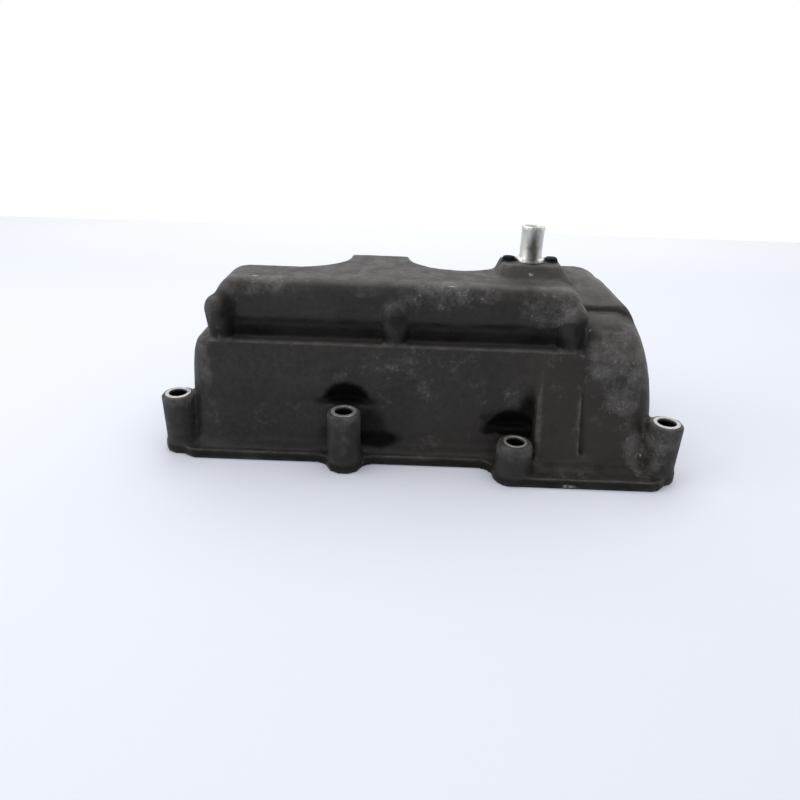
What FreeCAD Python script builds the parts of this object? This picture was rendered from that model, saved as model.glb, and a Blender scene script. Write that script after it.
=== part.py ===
"""Engine valve cover: a deep cast cover with eight bolt towers, a breather chamber and its small parts."""
import FreeCAD, Part
import math
import os

V = FreeCAD.Vector

# All sizes in millimetres. X runs along the cover, Y back from the bolted front, Z up from the joint face.

# Bolt towers
BOLT_SPAN = 286.6         # corner tower to corner tower, along X
BOLT_HOLE_D = 10.6
TOWER_D = 19.4
TALL_TOWER = 36.0         # height of the high bolt faces
LOW_TOWER = 23.6          # height of the low bolt faces
COLLAR_H = 2.4            # turned collar on the low towers
COLLAR_IN = 0.9           # the collar is this much smaller in radius than its tower
ROW_Y = -8.3              # front row of the four-hole rectangle
ROW_MID_X = -42.0         # its inner pair of holes
ROW_SPAN_Y = 110.3
LEFT_PAIR_Y = 8.0
LEFT_PAIR_BACK = 16.0     # its back tower stands this far before the back row
LOW_PAIR_X = 57.1
LOW_PAIR_Y = -14.6
LOW_PAIR_BACK = 2.0       # its back tower stands this far behind the back row

# Flange
FLANGE_T = 6.0
RIM_LEFT = 6.9            # rim stands this far out from the wall foot on the left
RIM_RIGHT = 9.9           # the same on the right
RIM_BACK = 8.0
RIM_ENDS = 5.0
RIM_CORNER = 11.0
RIM_BLEND = 8.0           # inside radius where the rim steps
FOOT_OUT = 0.9            # a tower's foot stands this far out in the rim
WEB_T = 9.0               # web from a corner tower to the end wall
WEB_DROP = 1.6            # its top under the bolt face

# Walls
WALL = 4.0
COVE_OUT = 4.2            # soft foot between wall and flange
COVE_UP = 7.0
COVE_SINK = 0.6           # its top edge lies this far under the wall's skin
COVE_ROOT = 1.0           # and its foot this far down in the flange
END_LEFT = 6.6            # left end wall inboard of the corner bolt
END_RIGHT = 2.6           # right end wall inboard of the corner bolt
WALL_CORNER = 12.0
CUT_SHARE = 0.6           # a straight cut of this share of a corner's radius keeps the wall even
BACK_ROW_OUT = 5.0        # the back wall's foot stands this far before the back row of bolts
BACK_LEAN = 12.2          # the back wall leans in this much over the full height
STEP_X = 69.8             # the front wall steps forward here
STEP_FORWARD = 15.6
STEP_EDGE = 2.2
STEP_LAP = 4.0            # how far the left wall runs on under the panel
PANEL_PROUD = 0.6         # the panel stands this far before the ledge edge

# Front wall, from foot to ledge
KNEE_Z = 52.0
KNEE_BACK = 5.0           # wall leans in this much up to the knee
KNEE_SOFT = 9.0           # half the height over which the wall bends there
KNEE_STEPS = 4
LEDGE_Z = 69.6
LEDGE_BACK = 12.0         # and this much up to the ledge
LEDGE_EDGE = 2.0          # rounding of the ledge, in this many steps
LEDGE_STEPS = 3
LEFT_LEAN = 3.0           # left end wall leans in this much up to the ledge
LEFT_SHOULDER = 4.4
SHOULDER_DROP = 6.5

# Domed right end: front lean and side lean at each height, passed through by a smooth curve
DOME_LEFT = 22.2          # the dome starts this far right of the step
DOME_Z = (0.0, 22.0, 40.0, 54.0, 66.0, 75.0, 82.5, 87.5)
DOME_FRONT = (0.0, 7.2, 12.8, 16.8, 21.2, 26.8, 34.6, 44.0)
DOME_SIDE = (0.0, 0.6, 1.6, 3.4, 6.2, 9.2, 12.6, 17.5)
DOME_CORNER = 17.0
DOME_STEPS = 12
DOME_INSIDE_STEPS = 5

# High tier behind the dome
TIER_FRONT = 33.0         # its front face stands this far behind the left wall foot
TIER_LIP_Z = 91.0
TIER_RISE = ((18.0, 7.4), (38.0, 11.0))
TIER_TOP_IN = 42.0        # level top ends this far inboard of the right wall foot
TIER_SIDE = ((33.5, 100.8), (25.0, 95.2), (16.8, 89.4), (12.4, 83.0), (9.2, 73.0), (7.4, 60.0))
TIER_FOOT_Z = 58.0        # it rises out of the dome from here

# Breather box on top
BOX_TOP_Z = 105.0
BOX_FRONT = 15.0          # behind the left wall foot
BOX_LEFT_IN = 17.2        # inboard of the left wall foot
BOX_RIGHT_X = 93.5
BOX_LEFT_R = 14.0
BOX_RIGHT_R = 13.0
BOX_EDGE = 7.5
SCALLOP_R = 31.0
SCALLOP_OFF_X = 13.0      # the left one's middle stands this far right of its well
SCALLOP_OFF_Y = 3.0       # and this far before it
RECESS_TOP = 83.5
RECESS_DEEP = 4.2

# Half-round screw pillars on the box front
PILLAR_D = 17.4
PILLAR_OUT = 3.4          # pillar axis behind the box front
PILLAR_TOPS = (95.6, 97.4, 97.0)
PILLAR_WAIST_D = 12.8     # it tapers to this at the ledge
PILLAR_PITCH = 102.2
PILLAR_MID_X = -14.4
PILLAR_FOOT_D = 14.0      # inner foot that takes the screw

# Plug wells
WELL_X = (-89.5, 23.5)
WELL_BACK = 18.6          # the wells stand this far before the back row of bolts
WELL_D = 55.0
WELL_BORE_D = 34.0
WELL_RIM_H = 3.0
WELL_RIM_D = 46.0
SEAL_ID = 38.0
SEAL_OD = 46.0
SEAL_DEPTH = 8.0

# Socket clearances over the front towers: sphere radius, depth of its centre under the bolt face
SCOOP_TALL = (19.2, 3.9)
SCOOP_LOW = (24.3, 7.6)

# Nipple pad
PAD_X = 65.2
PAD_Y = 51.0
PAD_TOP_Z = 112.5
PAD_TOP = (34.0, 22.0)    # along X and Y
PAD_SPREAD = (2.5, 7.0, 9.0, 4.0)    # the pad's foot is wider by this at left, right, front and back
PAD_CORNER = 4.0
LUG_D = 7.6
LUG_H = 2.6
LUG_SPAN = 25.6

# Breather nipple, a pressed-in steel tube
NIPPLE_OD = 13.2
NIPPLE_BORE = 9.4
NIPPLE_TALL = 21.0        # above the pad
NIPPLE_COLLAR_D = 17.2
NIPPLE_COLLAR_H = 2.0
NIPPLE_LEAD = 0.6         # slope at its mouth, for the hose
NIPPLE_SEAT = 10.0        # pressed depth

# Baffle plate and its screws
PLATE_T = 1.6
PLATE_LAP = 6.0           # laps the ceiling round the wells
PLATE_GAP = 1.2           # free of the walls and wells, and past the screw heads
PLATE_CORNER = 7.0
DRAIN_D = 9.0
DRAIN_PITCH = 51.0
DRAIN_COUNT = 3
DRAIN_BACK = 20.0         # their row behind the plate's front edge
VENT_L = 40.0
VENT_W = 12.0
SCREW_D = 5.0
SCREW_DEEP = 12.0
SCREW_END_GAP = 1.0
SCREW_HEAD_D = 9.5
SCREW_HEAD_H = 2.8
SCREW_SOCKET_AF = 3.0
SCREW_SOCKET_DEEP = 1.6
SCREW_BACK = 6.6          # front screws behind the pillar axis
BACK_SCREWS_X = (-26.5, 75.0)
BACK_SCREWS_IN = 28.0     # they hang this far before the back row of bolts

# Gasket in its groove
GROOVE_W = 3.2
GROOVE_DEEP = 4.0
GROOVE_IN = 0.4           # groove middle inboard of the wall foot
GROOVE_CLEAR = 2.0        # metal left beside a bolt hole
GROOVE_LAND = 2.4         # metal left beside the cavity

FAR = 400.0               # longer than the part, for cutters
PAST = 1.0                # a cutter runs this far past the face it opens
NEAR = 0.01               # places closer than this are the same


def corner_x():
    return BOLT_SPAN / 2


def ceiling_z():
    """Underside of the ledge, where the baffle plate lies."""
    return LEDGE_Z - WALL


def left_x():
    return -corner_x() + END_LEFT


def right_x():
    return corner_x() - END_RIGHT


def towers():
    """Every bolt tower: x, y, height of its face, and whether it carries the collar."""
    back = back_row()
    rows = [(x, y, TALL_TOWER, False) for x in (ROW_MID_X, corner_x()) for y in (ROW_Y, back)]
    rows += [(-corner_x(), y, TALL_TOWER, False) for y in (LEFT_PAIR_Y, back - LEFT_PAIR_BACK)]
    rows += [(LOW_PAIR_X, y, LOW_TOWER, True) for y in (LOW_PAIR_Y, back + LOW_PAIR_BACK)]
    return rows


def back_row():
    """Where the back row of bolts stands."""
    return ROW_Y + ROW_SPAN_Y


def back_y(z):
    """The back wall's place at a height."""
    return back_row() - BACK_ROW_OUT - BACK_LEAN * z / BOX_TOP_Z


def well_y():
    """Where the plug wells stand."""
    return back_row() - WELL_BACK


def union(shapes):
    whole = shapes[0].multiFuse(shapes[1:]) if len(shapes) > 1 else shapes[0]
    return whole.removeSplitter()


def cylinder(x, y, z, radius, height):
    return Part.makeCylinder(radius, height, V(x, y, z))


def loop(x0, x1, y0, y1, z, radii, soft=True):
    """A rectangle at one height, with the radii of its corners from the front left one to the back left one.
    They are round, or cut straight where nothing shows them. A radius of 0 leaves a corner sharp."""
    corners = ((x0, y0, 1, 1), (x1, y0, -1, 1), (x1, y1, -1, -1), (x0, y1, 1, -1))
    turns = []
    for k, ((x, y, to_x, to_y), radius) in enumerate(zip(corners, radii)):
        reach = radius if soft else radius * CUT_SHARE
        ends = [V(x, y + to_y * reach, z), V(x + to_x * reach, y, z)]
        sag = radius * (1 - math.sqrt(0.5))
        turns.append((ends if k % 2 == 0 else ends[::-1], V(x + to_x * sag, y + to_y * sag, z), radius))
    edges = []
    for (ends, middle, radius), (following, _, _) in zip(turns, turns[1:] + turns[:1]):
        if radius > 0 and soft:
            edges.append(Part.Arc(ends[0], middle, ends[1]).toShape())
        elif radius > 0:
            edges.append(Part.makeLine(ends[0], ends[1]))
        if ends[1].distanceToPoint(following[0]) > NEAR:
            edges.append(Part.makeLine(ends[1], following[0]))
    return Part.Wire(edges)


def slab(x0, x1, y0, y1, z0, z1, radius):
    face = Part.Face(loop(x0, x1, y0, y1, z0, [radius] * 4))
    return face.extrude(V(0, 0, z1 - z0))


def side_prism(points, x0, x1):
    """A closed outline in Y and Z, drawn out along X."""
    outline = Part.makePolygon([V(x0, y, z) for y, z in points + [points[0]]])
    return Part.Face(outline).extrude(V(x1 - x0, 0, 0))


def wall_lean(z):
    """How far the front wall leans in at a height: two straight runs with a soft bend between."""
    upper = (LEDGE_BACK - KNEE_BACK) / (LEDGE_Z - KNEE_Z)
    lower = KNEE_BACK / KNEE_Z
    past = min(max(z - KNEE_Z, -KNEE_SOFT), KNEE_SOFT)
    bend = (past + KNEE_SOFT) ** 2 / (4 * KNEE_SOFT)
    beyond = max(0, z - KNEE_Z - KNEE_SOFT)
    return lower * z + (upper - lower) * (bend + beyond)


def side_lean(z):
    """How far the left end wall leans in, with a shoulder under the ledge."""
    shoulder = max(0, (z - LEDGE_Z + SHOULDER_DROP) / SHOULDER_DROP)
    return LEFT_LEAN * z / LEDGE_Z + LEFT_SHOULDER * shoulder ** 2


def ledge_round(z):
    """How far the rounded ledge edge falls back at a height."""
    up = max(0, z - LEDGE_Z + LEDGE_EDGE)
    return LEDGE_EDGE - math.sqrt(max(0, LEDGE_EDGE ** 2 - up ** 2))


def ledge_levels():
    turns = [math.pi / 2 * k / LEDGE_STEPS for k in range(LEDGE_STEPS + 1)]
    return [LEDGE_Z - LEDGE_EDGE * (1 - math.sin(turn)) for turn in turns]


def front_wall(inset):
    """The wall under the ledge, as a solid block; inset shrinks it to the hollow's size, which is plainer."""
    levels = [0, KNEE_Z, LEDGE_Z]
    if inset == 0:
        levels = [0] + [KNEE_Z + KNEE_SOFT * (2 * k / KNEE_STEPS - 1) for k in range(KNEE_STEPS + 1)]
        levels += [LEDGE_Z - SHOULDER_DROP / 2] + ledge_levels()
    loops = []
    for z in sorted(levels):
        back = ledge_round(z) if inset == 0 else inset
        loops.append(loop(left_x() + side_lean(z) + back, STEP_X + STEP_LAP + inset, wall_lean(z) + back,
                          back_y(z) - inset, z * (1 - inset / LEDGE_Z),
                          (WALL_CORNER - inset, 0, 0, WALL_CORNER - inset), inset == 0))
    return Part.makeLoft(loops, True, True)


def panel_lean():
    """How far the wall right of the step leans in for each millimetre of height."""
    return (wall_lean(LEDGE_Z) + STEP_FORWARD - PANEL_PROUD) / LEDGE_Z


def panel(inset):
    """The wall right of the step, which leans in one plane from its foot to the ledge."""
    right = STEP_X + DOME_LEFT + WALL
    loops = []
    for z in [0] + (ledge_levels() if inset == 0 else [LEDGE_Z]):
        back = ledge_round(z) if inset == 0 else inset
        loops.append(loop(STEP_X + inset, right, panel_lean() * z - STEP_FORWARD + back, back_y(z) - inset,
                          z * (1 - inset / LEDGE_Z), (STEP_EDGE if inset == 0 else 0, 0, 0, 0)))
    return Part.makeLoft(loops, True, True)


def curve_at(heights, values, z):
    """A smooth curve through a few values, read at one height."""
    line = Part.BSplineCurve()
    line.interpolate([V(v, 0, h) for h, v in zip(heights, values)])
    cut = Part.Plane(V(0, 0, z), V(0, 0, 1))
    return line.intersect(cut)[0][0].X


def dome(inset):
    """The rounded right end, from levels close enough to read as one surface."""
    left = STEP_X + DOME_LEFT + inset
    top = DOME_Z[-1]
    steps = DOME_STEPS if inset == 0 else DOME_INSIDE_STEPS
    radius = DOME_CORNER - inset
    loops = []
    for k in range(steps + 1):
        z = top * math.sin(math.pi / 2 * k / steps)
        inside = 0 < k < steps
        lean = curve_at(DOME_Z, DOME_FRONT, z) if inside else DOME_FRONT[0 if k == 0 else -1]
        side = curve_at(DOME_Z, DOME_SIDE, z) if inside else DOME_SIDE[0 if k == 0 else -1]
        loops.append(loop(left, right_x() - side - inset, lean - STEP_FORWARD + inset, back_y(z) - inset,
                          z * (1 - inset / top), (radius, radius, radius, 0), inset == 0))
    return Part.makeLoft(loops, True, True)


def drawn_through(points, soft):
    """Arcs through an odd number of points, three at a time, or straight lines from each to the next."""
    if soft:
        return [Part.Arc(a, b, c).toShape() for a, b, c in zip(points[::2], points[1::2], points[2::2])]
    return [Part.makeLine(a, b) for a, b in zip(points, points[1:])]


def tier(inset):
    """The high tier behind the dome: one outline seen from the front crossed with one seen from the side."""
    top = TIER_LIP_Z + TIER_RISE[-1][1] - inset
    front = TIER_FRONT + inset
    rise = [V(0, front, TIER_LIP_Z - inset)]
    rise += [V(0, front + y, TIER_LIP_Z + z - inset) for y, z in TIER_RISE]
    low = TIER_FOOT_Z
    back = [V(0, back_y(top) - inset, top), V(0, back_y(low) - inset, low), V(0, front, low)]
    edges = drawn_through(rise, inset == 0) + drawn_through([rise[-1]] + back + [rise[0]], False)
    block = Part.Face(Part.Wire(edges)).extrude(V(FAR, 0, 0))
    left = BOX_RIGHT_X - WALL + inset
    side = [V(right_x() - TIER_TOP_IN, 0, top)]
    side += [V(right_x() - x - inset, 0, z - inset / 2) for x, z in TIER_SIDE]
    rest = [side[-1], V(left, 0, side[-1].z), V(left, 0, top), side[0]]
    edges = drawn_through(side, inset == 0) + drawn_through(rest, False)
    return block.common(Part.Face(Part.Wire(edges)).extrude(V(0, FAR, 0)))


def box_blank(inset):
    """The breather box before its scallops."""
    x0, x1 = left_x() + BOX_LEFT_IN + inset, BOX_RIGHT_X - inset
    top, front = BOX_TOP_Z - inset, BOX_FRONT + inset
    low = LEDGE_Z - 2 * WALL
    rl, rr = BOX_LEFT_R - inset, BOX_RIGHT_R - inset
    kl, kr = rl * (1 - math.sqrt(0.5)), rr * (1 - math.sqrt(0.5))
    outline = Part.Wire([
        Part.makeLine(V(x0, front, low), V(x0, front, top - rl)),
        Part.Arc(V(x0, front, top - rl), V(x0 + kl, front, top - kl), V(x0 + rl, front, top)).toShape(),
        Part.makeLine(V(x0 + rl, front, top), V(x1 - rr, front, top)),
        Part.Arc(V(x1 - rr, front, top), V(x1 - kr, front, top - kr), V(x1, front, top - rr)).toShape(),
        Part.makeLine(V(x1, front, top - rr), V(x1, front, low)),
        Part.makeLine(V(x1, front, low), V(x0, front, low))])
    block = Part.Face(outline).extrude(V(0, FAR, 0))
    if inset == 0:
        rim = [e for e in block.Edges if abs(e.BoundBox.YMin - front) < NEAR
               and abs(e.BoundBox.YMax - front) < NEAR and e.BoundBox.ZMax > low + WALL]
        block = block.makeFillet(BOX_EDGE, rim)
    under, over = low - PAST, top + PAST
    kept = [(-FAR, under), (back_y(under) - inset, under), (back_y(over) - inset, over), (-FAR, over)]
    return block.common(side_prism(kept, -FAR, FAR))


def scallop(x, grow, left_open, low):
    """The clearance over a plug well; the left one stands off its well and runs on to the end."""
    radius = SCALLOP_R + grow
    middle_x = x + (SCALLOP_OFF_X if left_open else 0)
    middle_y = well_y() - (SCALLOP_OFF_Y if left_open else 0)
    body = cylinder(middle_x, middle_y, low, radius, FAR)
    body = body.fuse(Part.makeBox(2 * radius, FAR, FAR, V(middle_x - radius, middle_y, low)))
    if left_open:
        body = body.fuse(Part.makeBox(FAR, FAR, FAR, V(middle_x - FAR, middle_y - radius, low)))
    return body


def box(inset):
    body = box_blank(inset)
    for x in WELL_X:
        body = body.cut(scallop(x, inset, x == WELL_X[0], LEDGE_Z - inset))
    return body.removeSplitter()


def recess():
    """The groove under the box front, with a sloped ceiling."""
    deep = BOX_FRONT + RECESS_DEEP
    points = [(BOX_FRONT - WALL, LEDGE_Z), (deep, LEDGE_Z), (deep, RECESS_TOP - RECESS_DEEP),
              (BOX_FRONT, RECESS_TOP), (BOX_FRONT - WALL, RECESS_TOP)]
    return side_prism(points, left_x() + BOX_LEFT_IN - 1, BOX_RIGHT_X + 1)


def pillar_places():
    y = BOX_FRONT + PILLAR_OUT
    return [(PILLAR_MID_X + k * PILLAR_PITCH, y) for k in (-1, 0, 1)]


def pillar(x, y, top):
    """A half-round pillar with a domed head, slimmer at its foot."""
    r = PILLAR_D / 2
    low = ceiling_z()
    shaft = Part.makeCone(PILLAR_WAIST_D / 2, r, top - r - low, V(x, y, low))
    return shaft.fuse(Part.makeSphere(r, V(x, y, top - r)))


def pad():
    """The raised pad that carries the nipple, with its two low lugs."""
    half_x, half_y = PAD_TOP[0] / 2, PAD_TOP[1] / 2
    foot = BOX_TOP_Z - 1
    loops = []
    for part, z in ((1, foot), (0, PAD_TOP_Z)):
        l, r, f, b = (part * grow for grow in PAD_SPREAD)
        loops.append(loop(PAD_X - half_x - l, PAD_X + half_x + r, PAD_Y - half_y - f, PAD_Y + half_y + b, z,
                          [PAD_CORNER] * 4, False))
    body = Part.makeLoft(loops, True, True)
    lug_xs = (PAD_X - LUG_SPAN / 2, PAD_X + LUG_SPAN / 2)
    return body.fuse([cylinder(x, PAD_Y, PAD_TOP_Z - LUG_H, LUG_D / 2, 2 * LUG_H) for x in lug_xs])


def tower_r(collar):
    return TOWER_D / 2 + (COLLAR_IN if collar else 0)


def tower(x, y, top, collar):
    """A bolt tower; the low ones end in a turned collar."""
    if not collar:
        return cylinder(x, y, 0, tower_r(collar), top)
    return cylinder(x, y, 0, tower_r(collar), top - COLLAR_H).fuse(cylinder(x, y, 0, TOWER_D / 2, top))


def footprint(grow, z1):
    """The flange or the walls' foot as a plate, grown outward."""
    far_right = STEP_X + DOME_LEFT
    left = slab(left_x() - grow, far_right, -grow, back_y(0) + grow, 0, z1, WALL_CORNER + grow)
    right = slab(STEP_X - grow, right_x() + grow, -STEP_FORWARD - grow, back_y(0) + grow, 0, z1,
                 DOME_CORNER + grow)
    wells = [cylinder(x, well_y(), 0, WELL_D / 2 + grow, z1) for x in WELL_X]
    return union([left, right] + wells)


def bottom_face(plate):
    return [f for f in plate.Faces if abs(f.BoundBox.ZMax) < NEAR][0]


def offset_block(face, offsets, height):
    """A flat face at the joint plane, offset in turn by each amount, as a block. Its rim is drawn afresh
    from lines and arcs, because offset edges do not always meet closely enough to cut with."""
    for offset in offsets:
        face = face.makeOffset2D(offset)
    wire = face.OuterWire
    points = [V(v.X, v.Y, 0) for v in wire.OrderedVertexes]
    edges = []
    for edge, start, end in zip(wire.OrderedEdges, points, points[1:] + points[:1]):
        if isinstance(edge.Curve, Part.Circle):
            middle = edge.valueAt((edge.FirstParameter + edge.LastParameter) / 2)
            edges.append(Part.Arc(start, V(middle.x, middle.y, 0), end).toShape())
        else:
            edges.append(Part.makeLine(start, end))
    return Part.Face(Part.Wire(edges)).extrude(V(0, 0, height))


def flange():
    """The rim plate: a wider step on the right, feet round the towers, soft inside corners."""
    back = back_y(0) + RIM_BACK
    left = slab(left_x() - RIM_ENDS, STEP_X + DOME_LEFT, -RIM_LEFT, back, 0, FLANGE_T, RIM_CORNER)
    right = slab(LOW_PAIR_X - RIM_CORNER, right_x() + RIM_ENDS, -STEP_FORWARD - RIM_RIGHT, back, 0, FLANGE_T,
                 RIM_CORNER)
    wells = [cylinder(x, well_y(), 0, WELL_D / 2 + RIM_ENDS, FLANGE_T) for x in WELL_X]
    feet = [cylinder(x, y, 0, tower_r(collar) + FOOT_OUT, FLANGE_T) for x, y, top, collar in towers()]
    return offset_block(bottom_face(union([left, right] + wells + feet)), (RIM_BLEND, -RIM_BLEND), FLANGE_T)


def coves():
    """The soft foot where the walls meet the flange."""
    steps = ((COVE_OUT, FLANGE_T - COVE_ROOT), (COVE_OUT, FLANGE_T), (COVE_OUT / 3, FLANGE_T + COVE_UP / 3),
             (-COVE_SINK, FLANGE_T + COVE_UP))
    left, right = [], []
    for grow, z in steps:
        left.append(loop(left_x() + side_lean(z) - grow, STEP_X + STEP_LAP, wall_lean(z) - grow,
                         back_y(z) + grow, z, (WALL_CORNER, 0, 0, WALL_CORNER)))
        right.append(loop(STEP_X - grow, right_x() + grow, panel_lean() * z - STEP_FORWARD - grow,
                          back_y(z) + grow, z, (STEP_EDGE, DOME_CORNER, DOME_CORNER, 0)))
    return [Part.makeLoft(loops, True, True) for loops in (left, right)]


def web(x, y, top):
    """A web from a corner tower in to the round corner of the body, aimed at its place at the web's top."""
    z = top - WEB_DROP
    if x < 0:
        end = left_x() + side_lean(z) + WALL_CORNER
        front, corner = wall_lean(z), WALL_CORNER
    else:
        end = right_x() - curve_at(DOME_Z, DOME_SIDE, z) - DOME_CORNER
        front, corner = curve_at(DOME_Z, DOME_FRONT, z) - STEP_FORWARD, DOME_CORNER
    side = front + corner if y < well_y() / 2 else back_y(z) - corner
    way = V(end - x, side - y, 0)
    block = Part.makeBox(way.Length, WEB_T, top - WEB_DROP, V(x, y - WEB_T / 2, 0))
    block.rotate(V(x, y, 0), V(0, 0, 1), math.degrees(math.atan2(way.y, way.x)))
    return block


def webs():
    return [web(x, y, top) for x, y, top, collar in towers() if abs(abs(x) - corner_x()) < 1]


def groove_line():
    """The wall foot, pushed inboard of every bolt hole, as a flat face."""
    plate = footprint(0, FLANGE_T)
    keep = BOLT_HOLE_D / 2 + GROOVE_CLEAR + GROOVE_W / 2 - GROOVE_IN
    for x, y, top, collar in towers():
        plate = plate.cut(cylinder(x, y, 0, keep, FLANGE_T))
    return bottom_face(plate.removeSplitter())


def groove_ring():
    """The gasket's ring, which also cuts its groove."""
    soften = (GROOVE_CLEAR, -GROOVE_CLEAR)
    outer = offset_block(groove_line(), soften + (GROOVE_W / 2 - GROOVE_IN,), GROOVE_DEEP)
    inner = offset_block(groove_line(), soften + (-GROOVE_W / 2 - GROOVE_IN,), GROOVE_DEEP)
    return outer.cut(inner)


def well_bodies(grow):
    return [cylinder(x, well_y(), 0, WELL_D / 2 + grow, LEDGE_Z) for x in WELL_X]


def scoops(grow):
    """Socket clearances over the two middle front towers, kept left of the step."""
    cuts = []
    for (x, y, top), (radius, drop) in (((ROW_MID_X, ROW_Y, TALL_TOWER), SCOOP_TALL),
                                        ((LOW_PAIR_X, LOW_PAIR_Y, LOW_TOWER), SCOOP_LOW)):
        ball = Part.makeSphere(radius + grow, V(x, y, top - drop))
        above = Part.makeBox(STEP_X + grow + FAR, 2 * FAR, FAR, V(-FAR, -FAR, top - grow))
        cuts.append(ball.common(above))
    return cuts


def outer_body():
    solids = [front_wall(0), panel(0), dome(0), tier(0), box(0).cut(recess()), flange(), pad()]
    solids += [pillar(x, y, top) for (x, y), top in zip(pillar_places(), PILLAR_TOPS)]
    solids += well_bodies(0) + coves() + webs()
    solids += [tower(*row) for row in towers()]
    body = union(solids)
    for cut in scoops(0):
        body = body.cut(cut)
    return body


def screw_places():
    """Front screws stand behind the pillars, the back ones hang from the roof."""
    back = [(x, back_row() - BACK_SCREWS_IN) for x in BACK_SCREWS_X]
    return [(x, y + SCREW_BACK) for x, y in pillar_places()] + back


def chamber():
    """The breather chamber: the box's hollow, set back where the recess comes in."""
    behind = BOX_FRONT + RECESS_DEEP + WALL
    low = LEDGE_Z - WALL
    kept_wall = Part.makeBox(2 * FAR, behind, RECESS_TOP + WALL - low, V(-FAR, 0, low))
    return box(WALL).cut(kept_wall)


def hollow():
    """The space inside, less everything that stands in it."""
    space = front_wall(WALL).fuse([panel(WALL), dome(WALL), tier(WALL), chamber()])
    keep = well_bodies(0) + scoops(WALL)
    land = BOLT_HOLE_D / 2 + GROOVE_CLEAR + GROOVE_W + GROOVE_LAND
    keep += [cylinder(x, y, 0, land, top) for x, y, top, collar in towers()]
    keep += [cylinder(x, y, ceiling_z(), PILLAR_FOOT_D / 2, FAR) for x, y in screw_places()]
    for item in keep:
        space = space.cut(item)
    return space


def well_cuts():
    """Bore and seal groove of each plug well."""
    cuts = []
    for x in WELL_X:
        cuts.append(cylinder(x, well_y(), -PAST, WELL_BORE_D / 2, FAR))
        ring = cylinder(x, well_y(), -PAST, SEAL_OD / 2, SEAL_DEPTH + PAST)
        cuts.append(ring.cut(cylinder(x, well_y(), -PAST, SEAL_ID / 2, SEAL_DEPTH + PAST)))
    return cuts


def cover():
    body = outer_body()
    rims = [cylinder(x, well_y(), LEDGE_Z - PAST, WELL_RIM_D / 2, WELL_RIM_H + PAST) for x in WELL_X]
    body = body.fuse(rims)
    body = body.cut(hollow())
    cuts = well_cuts() + [groove_ring()]
    for x, y, top, collar in towers():
        cuts.append(cylinder(x, y, -PAST, BOLT_HOLE_D / 2, top + 2 * PAST))
    for x, y in screw_places():
        cuts.append(cylinder(x, y, ceiling_z() - PAST, SCREW_D / 2, SCREW_DEEP + PAST))
    cuts.append(cylinder(PAD_X, PAD_Y, BOX_TOP_Z - 2 * WALL, NIPPLE_OD / 2, FAR))
    for cut in cuts:
        body = body.cut(cut)
    return body.removeSplitter()


def nipple():
    """A plain steel tube with a collar on the pad, sloped at its mouth."""
    r, bore = NIPPLE_OD / 2, NIPPLE_BORE / 2
    low, seat, top = PAD_TOP_Z - NIPPLE_SEAT, PAD_TOP_Z, PAD_TOP_Z + NIPPLE_TALL
    collar = NIPPLE_COLLAR_D / 2
    points = [(bore, low), (r, low), (r, seat), (collar, seat), (collar, seat + NIPPLE_COLLAR_H),
              (r, seat + NIPPLE_COLLAR_H), (r, top - NIPPLE_LEAD), (r - NIPPLE_LEAD, top), (bore, top),
              (bore, low)]
    outline = Part.makePolygon([V(x, 0, z) for x, z in points])
    tube = Part.Face(outline).revolve(V(0, 0, 0), V(0, 0, 1), 360)
    tube.translate(V(PAD_X, PAD_Y, 0))
    return tube


def baffle():
    """The sheet that closes the chamber from below, with drain holes and a vent slot."""
    z0, z1 = ceiling_z() - PLATE_T, ceiling_z()
    x0 = min(x for x, y in screw_places()) - SCREW_HEAD_D / 2 - PLATE_GAP
    x1 = BOX_RIGHT_X - PLATE_GAP
    y0 = wall_lean(LEDGE_Z) + LEDGE_EDGE + WALL + PLATE_GAP
    plate = slab(x0, x1, y0, back_y(z1) - WALL - PLATE_GAP, z0, z1, PLATE_CORNER)
    for x in WELL_X:
        plate = plate.cut(scallop(x, WALL - PLATE_LAP, x == WELL_X[0], z0))
        plate = plate.cut(cylinder(x, well_y(), z0, WELL_D / 2 + PLATE_GAP, PLATE_T))
    for x, y in screw_places():
        plate = plate.cut(cylinder(x, y, z0, SCREW_D / 2, PLATE_T))
    middle = (x0 + x1) / 2
    row = y0 + DRAIN_BACK
    for k in range(DRAIN_COUNT):
        x = middle + (k - (DRAIN_COUNT - 1) / 2) * DRAIN_PITCH
        plate = plate.cut(cylinder(x, row, z0, DRAIN_D / 2, PLATE_T))
    vent_x = x0 + PLATE_LAP + VENT_W
    return plate.cut(slab(vent_x, vent_x + VENT_L, row - VENT_W / 2, row + VENT_W / 2, z0, z1, VENT_W / 2))


def screw(x, y):
    """One plate screw with a low head and a hexagon socket."""
    z = ceiling_z() - PLATE_T
    shank = cylinder(x, y, z, SCREW_D / 2, PLATE_T + SCREW_DEEP - SCREW_END_GAP)
    head = cylinder(x, y, z - SCREW_HEAD_H, SCREW_HEAD_D / 2, SCREW_HEAD_H)
    corner = SCREW_SOCKET_AF / math.sqrt(3)
    turns = [math.radians(60 * k) for k in range(7)]
    low = z - SCREW_HEAD_H
    socket = Part.makePolygon([V(x + corner * math.cos(t), y + corner * math.sin(t), low) for t in turns])
    return head.fuse(shank).cut(Part.Face(socket).extrude(V(0, 0, SCREW_SOCKET_DEEP))).removeSplitter()


def one_solid(shape):
    return shape.Solids[0] if len(shape.Solids) == 1 else shape


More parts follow.
